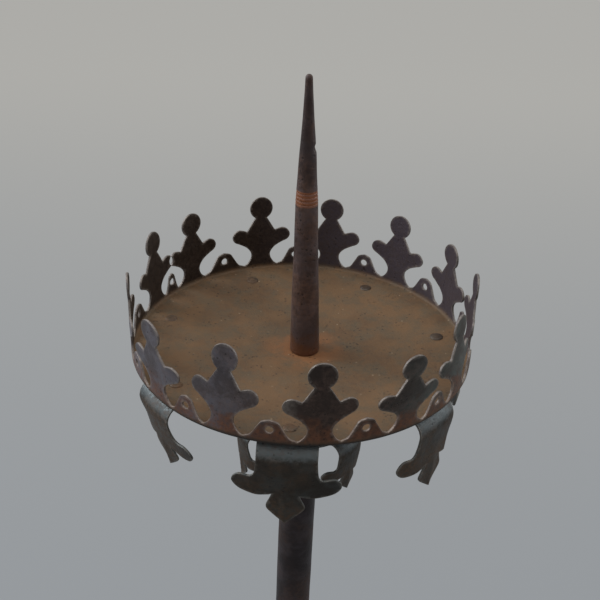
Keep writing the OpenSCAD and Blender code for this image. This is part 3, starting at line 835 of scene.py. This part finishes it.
# %% Legs and their collar
LEG_IN, NECK_R, ARCH_R, FOOT_T, TAB = 14.0, 42.0, 88.0, 5.0, 62.0
TAB_LOW = FOOT_T + ARCH_R + NECK_R
leg_path = [(LEG_IN, z) for z in np.linspace(TAB_LOW + TAB, TAB_LOW + 2, 12)]
leg_path += [(LEG_IN + NECK_R + NECK_R * cos(a), TAB_LOW + NECK_R * sin(a)) for a in np.linspace(pi, 1.5 * pi, 18)]
leg_path += [(LEG_IN + NECK_R + ARCH_R * cos(a), FOOT_T + ARCH_R * sin(a)) for a in np.linspace(pi / 2, 0, 34)[1:]]
leg_path.append((LEG_IN + NECK_R + ARCH_R, 1.5))
for i in range(3):
    leg = bar(leg_path, 15.0, 7.0, seed=7.0 * i)
    foot = turned(disc(17.0, 0.0, FOOT_T, 1.6), 56, 0.25, 0.1, seed=3.0 * i)
    foot = ([(x, y - LEG_IN - NECK_R - ARCH_R, z) for x, y, z in foot[0]], foot[1])
    points, faces = placed(joined(leg, foot), 120 * i)
    fit(f"leg_with_foot_{i + 1}", points, faces, base_finish, "base_iron", f"leg_{i + 1}")
ring = collar(19.2, 23.1, TAB_LOW + TAB - 22, TAB_LOW + TAB - 8, 0.9)
fit("leg_band", *turned(ring, 64, 0.2, 0.08, ring=True), base_finish, "base_iron", "leg_collar")

# %% [markdown]
# ## Rivets
# Thirteen rivets in two sizes hold the leaves and the legs. Geometry Nodes suit this: one tree takes points, sizes
# and a seed, stands a domed rivet on each point and gives each head its own small dents. The result is turned into a
# plain mesh, since exported files can't hold instances.

# %% A tree that sets rivets
def rivet_tree():
    tree = bpy.data.node_groups.new("Hammered rivets", "GeometryNodeTree")
    for name, kind in (("Points", "Geometry"), ("Head width", "Float"), ("Head height", "Float"),
                       ("Shank width", "Float"), ("Grip", "Float"), ("Both heads", "Bool"), ("Unevenness", "Float"),
                       ("Dents", "Float"), ("Seed", "Int"), ("Finish", "Material")):
        tree.interface.new_socket(name=name, in_out="INPUT", socket_type="NodeSocket" + kind)
    tree.interface.new_socket(name="Rivets", in_out="OUTPUT", socket_type="NodeSocketGeometry")
    b = Bench(tree)

    def given(name):
        return b.node("NodeGroupInput", out=name)

    def vector(x, y, z):
        return b.node("ShaderNodeCombineXYZ", {}, {0: x, 1: y, 2: z})

    ball = b.node("GeometryNodeMeshUVSphere", {}, {"Segments": 24, "Rings": 12, "Radius": 0.5})
    size = vector(given("Head width"), given("Head width"), given("Head height") * 2)
    upper = b.node("GeometryNodeTransform", {}, {"Geometry": ball, "Scale": size})
    lower = b.node("GeometryNodeTransform", {}, {
        "Geometry": ball, "Scale": size, "Translation": vector(0.0, 0.0, given("Grip") * -1)})
    lower = b.node("GeometryNodeSwitch", {"input_type": "GEOMETRY"}, {"Switch": given("Both heads"), "True": lower})
    shank = b.node("GeometryNodeMeshCylinder", {}, {
        "Vertices": 16, "Radius": given("Shank width") * 0.5, "Depth": given("Grip")})
    shank = b.node("GeometryNodeTransform", {}, {
        "Geometry": shank, "Translation": vector(0.0, 0.0, given("Grip") * -0.5)})
    rivet = b.node("GeometryNodeJoinGeometry", {}, {0: [upper, lower, shank]})
    aim = b.node("GeometryNodeInputNamedAttribute", {"data_type": "FLOAT_VECTOR"}, {"Name": "aim"})
    turn = b.node("FunctionNodeAlignRotationToVector", {"axis": "Z"}, {"Vector": aim})
    size = b.node("FunctionNodeRandomValue", {"data_type": "FLOAT"}, {
        2: 1 - given("Unevenness"), 3: 1 + given("Unevenness"), "Seed": given("Seed")}, out=1)
    rivets = b.node("GeometryNodeInstanceOnPoints", {}, {
        "Points": given("Points"), "Instance": rivet, "Rotation": turn, "Scale": vector(size, size, 1.0)})
    rivets = b.node("GeometryNodeRealizeInstances", {}, {0: rivets})
    dents = b.node("ShaderNodeTexNoise", {}, {"Scale": 320.0, "Detail": 2.0}, out=1)
    dents = b.node("ShaderNodeVectorMath", {"operation": "SUBTRACT"}, {0: dents, 1: (0.5, 0.5, 0.5)})
    dents = b.node("ShaderNodeVectorMath", {"operation": "SCALE"}, {0: dents, "Scale": given("Dents")})
    rivets = b.node("GeometryNodeSetPosition", {}, {"Geometry": rivets, "Offset": dents})
    rivets = b.node("GeometryNodeSetMaterial", {}, {"Geometry": rivets, "Material": given("Finish")})
    b.node("NodeGroupOutput", {}, {"Rivets": rivets})
    return tree


rivets_by_hand = rivet_tree()
print("rivet tree:", len(rivets_by_hand.nodes), "nodes")


# %% Setting the rivets
def set_rivets(name, spots, node, head, height, shank, grip, both, seed):
    """Rivets at spots, each a place and a direction, in millimetres."""
    mesh = bpy.data.meshes.new(name + "_spots")
    mesh.from_pydata([tuple(v * MM for v in place) for place, _ in spots], [], [])
    aim = mesh.attributes.new("aim", "FLOAT_VECTOR", "POINT")
    for k, (_, direction) in enumerate(spots):
        aim.data[k].vector = direction
    holder = bpy.data.objects.new(name + "_spots", mesh)
    scene.collection.objects.link(holder)
    rule = holder.modifiers.new("Rivets", "NODES")
    rule.node_group = rivets_by_hand
    values = {"Head width": head * MM, "Head height": height * MM, "Shank width": shank * MM, "Grip": grip * MM,
              "Both heads": both, "Unevenness": 0.06, "Dents": 0.0004, "Seed": seed, "Finish": rivet_finish}
    for item in rivets_by_hand.interface.items_tree:
        if item.in_out == "INPUT" and item.name in values:
            rule[item.identifier] = values[item.name]
    graph = bpy.context.evaluated_depsgraph_get()
    made = bpy.data.meshes.new_from_object(holder.evaluated_get(graph), depsgraph=graph)
    bpy.data.objects.remove(holder)
    settle(name, made, rivet_finish, "rivet_iron", node)


def around(azimuths, radius, z, normal, centre=(0, 0)):
    """A spot at each azimuth. normal gives how much the rivet points outwards and upwards."""
    out, up = normal
    return [((centre[0] + radius * sin(radians(a)), centre[1] - radius * cos(radians(a)), z),
             (out * sin(radians(a)), -out * cos(radians(a)), up)) for a in azimuths]


set_rivets("leaf_rivets", around(leaf_azimuths, RIVET_R, PAN.z + floor_at(RIVET_R) - 0.1, (-sin(TILT), cos(TILT)),
                                 (PAN.x, PAN.y)), "rim_rivets", 7.0, 1.1, 4.0, 2.2, True, 4)
set_rivets("small_leaf_rivets", around(small_azimuths, 25.0, LOW_UNDER + SHEET, (0, 1)), "lower_rivets",
           7.0, 1.4, 4.0, 2.2, True, 9)
set_rivets("big_leg_rivets", around([0, 120, 240], 17.5, TAB_LOW + 0.36 * TAB, (1, 0)), "leg_rivets",
           12.0, 3.0, 6.0, 12.5, False, 2)

# %% The pin across the tenon
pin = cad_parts["tenon_pin"]
pin.data.materials.clear()
pin.data.materials.append(rivet_finish)

# %% [markdown]
# ## Floor and light
# The photograph has a plain wall behind, warm grey above and cooler below, and one big soft window on the left. A
# floor with a slow change of colour gives this ground. Its camera rays get most of their colour directly, so that the
# ground stays as pale as it is painted, and the rest from the lamps, so that the shadow stays.

# %% Floor
def floor_material():
    material, b = new_material("studio_floor")
    away = b.parts(b.millimetres())[1]
    colour = b.blend(b.band(away, 100.0, 2600.0), paint("979b9f"), paint("b9b8b4"))
    seen = b.node("ShaderNodeLightPath", out="Is Camera Ray")
    matt = b.node("ShaderNodeBsdfPrincipled", {}, {"Base Color": colour, "Roughness": 0.9})
    glow = b.node("ShaderNodeEmission", {}, {"Color": colour, "Strength": 1.0})
    both = b.node("ShaderNodeMixShader", {}, {0: seen * 0.8, 1: matt, 2: glow})
    b.node("ShaderNodeOutputMaterial", {}, {"Surface": both})
    return material


FLOOR = 14.0
floor_mesh = bpy.data.meshes.new("studio_floor")
corners = [(-FLOOR, -FLOOR, 0), (FLOOR, -FLOOR, 0), (FLOOR, FLOOR, 0), (-FLOOR, FLOOR, 0)]
floor_mesh.from_pydata(corners, [], [(0, 1, 2, 3)])
floor_mesh.materials.append(floor_material())
studio_floor = bpy.data.objects.new("studio_floor", floor_mesh)
scene.collection.objects.link(studio_floor)

# %% Light
def soft_box(name, place, size, power, colour):
    """A square lamp that looks at the pan."""
    lamp = bpy.data.lights.new(name, "AREA")
    lamp.size, lamp.energy, lamp.color = size, power, colour
    lamp_object = bpy.data.objects.new(name, lamp)
    lamp_object.location = place
    aim = PAN * MM - Vector(place)
    lamp_object.rotation_euler = aim.to_track_quat("-Z", "Y").to_euler()
    scene.collection.objects.link(lamp_object)
    print(name, "stands", round(aim.length, 2), "m away, power", power)


soft_box("window_left", (-1.15, 0.25, 1.35), 1.0, 15.0, (0.93, 0.97, 1.0))
soft_box("room_right", (1.3, 0.5, 1.0), 0.9, 5.0, (0.95, 0.98, 1.0))
soft_box("ceiling", (0.1, -0.35, 2.1), 1.2, 8.0, (1.0, 0.98, 0.95))

world = bpy.data.worlds.new("studio")
scene.world = world
world.use_nodes = True
b = Bench(world.node_tree)
camera_ray, glossy_ray, through_ray = (
    b.node("ShaderNodeLightPath", out=f"Is {kind} Ray") for kind in ("Camera", "Glossy", "Transmission"))
seen = b.maths("MINIMUM", camera_ray + glossy_ray + through_ray, 1.0)
sky = b.node("ShaderNodeBackground", {}, {"Color": paint("c9c9c8"), "Strength": seen * 0.45 + 0.4})
b.node("ShaderNodeOutputWorld", {}, {"Surface": sky})
